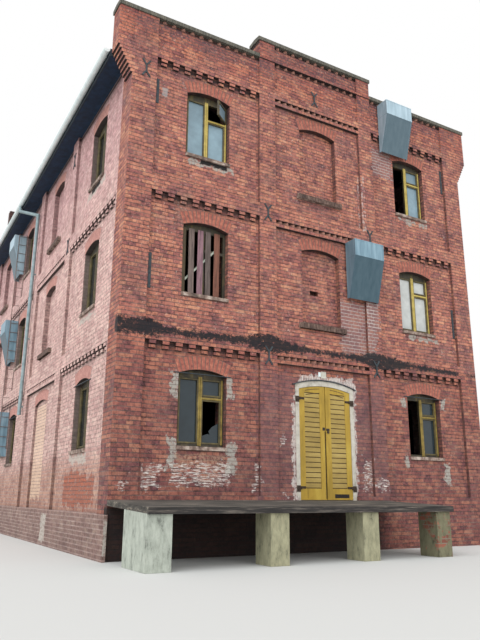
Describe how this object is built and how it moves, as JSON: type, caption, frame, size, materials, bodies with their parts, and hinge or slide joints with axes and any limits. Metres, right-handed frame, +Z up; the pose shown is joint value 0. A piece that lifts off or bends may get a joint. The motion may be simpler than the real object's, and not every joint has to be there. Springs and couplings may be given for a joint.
{
  "type": "factory building",
  "caption": "Three-storey red-brick factory building with pilasters, brick friezes, a stepped parapet, arched windows, louvred double doors and a loading dock on piers.",
  "frame": {"origin": "under the middle of the whole building's box, at ground level", "axes": "+X to the right along the front, +Y from the front to the back, +Z up"},
  "size_m": [9.9806, 20.33, 11.6763],
  "materials": {
    "brick_front": "rough red brickwork, weathered",
    "brick_side": "rough pale red brickwork, weathered",
    "brick_base": "rough dark red brickwork, damp",
    "coping": "lichened brick on edge",
    "floor_concrete": "bare worn floor",
    "floor_timber": "bare planks",
    "roof_felt": "dull roofing felt",
    "eaves_timber": "dark stained boards",
    "zinc": "dull weathered zinc",
    "dock_concrete": "dark weathered concrete",
    "dock_iron": "dark rusty iron",
    "whitewash": "worn whitewash on masonry",
    "door_paint": "faded mustard paint on boards",
    "hinge_iron": "rusty iron",
    "lock_steel": "dull steel",
    "frame_paint": "flaking olive paint",
    "glass": "dusty window glass",
    "plank": "grey weathered planks",
    "sill": "pale worn sills",
    "sheet_metal": "grey-blue sheet",
    "wall_iron": "dark iron"
  },
  "bodies": {
    "building": {"front_wall_left": "brick_front", "front_wall_right": "brick_front", "front_wall_over_door": "brick_front", "front_wall_under_door": "brick_base", "left_wall": "brick_side", "right_wall": "brick_side", "back_wall": "brick_front", "front_parapet": "brick_front", "back_parapet": "brick_front", "front_coping": "coping", "back_coping": "coping", "ground_floor": "floor_concrete", "first_floor": "floor_timber", "second_floor": "floor_timber", "left_roof": "roof_felt", "right_roof": "roof_felt", "fascia_boards": "eaves_timber", "left_gutter": "zinc", "right_gutter": "zinc", "left_downpipe": "zinc", "right_downpipe": "zinc", "chimney": "brick_front", "dock_slab": "dock_concrete", "dock_edge": "dock_iron", "dock_piers": "whitewash", "door_jamb_left": "whitewash", "door_jamb_right": "whitewash", "door_arch": "whitewash", "door_pintles": "hinge_iron", "front_window_frames": "frame_paint", "left_window_frames": "frame_paint", "right_window_frames": "frame_paint", "back_window_frames": "frame_paint", "front_window_glass": "glass", "left_window_glass": "glass", "right_window_glass": "glass", "back_window_glass": "glass", "window_planks": "plank", "window_sills": "sill", "front_hoods": "sheet_metal", "left_hoods": "sheet_metal", "wall_anchors": "wall_iron", "wall_ladder": "wall_iron"},
    "door_left": {"door_leaf_left": "door_paint", "strap_hinges_left": "hinge_iron", "door_staple": "lock_steel"},
    "door_right": {"door_leaf_right": "door_paint", "strap_hinges_right": "hinge_iron", "door_hasp": "lock_steel"}
  },
  "joints": [
    {"name": "left_leaf_hinge", "type": "hinge", "parent": "building", "child": "door_left", "pos_m": [-0.626, -8.322, 2], "axis": [0, 0, -1], "range_deg": [0, 95]},
    {"name": "right_leaf_hinge", "type": "hinge", "parent": "building", "child": "door_right", "pos_m": [0.626, -8.322, 2], "axis": [0, 0, 1], "range_deg": [0, 95]}
  ]
}
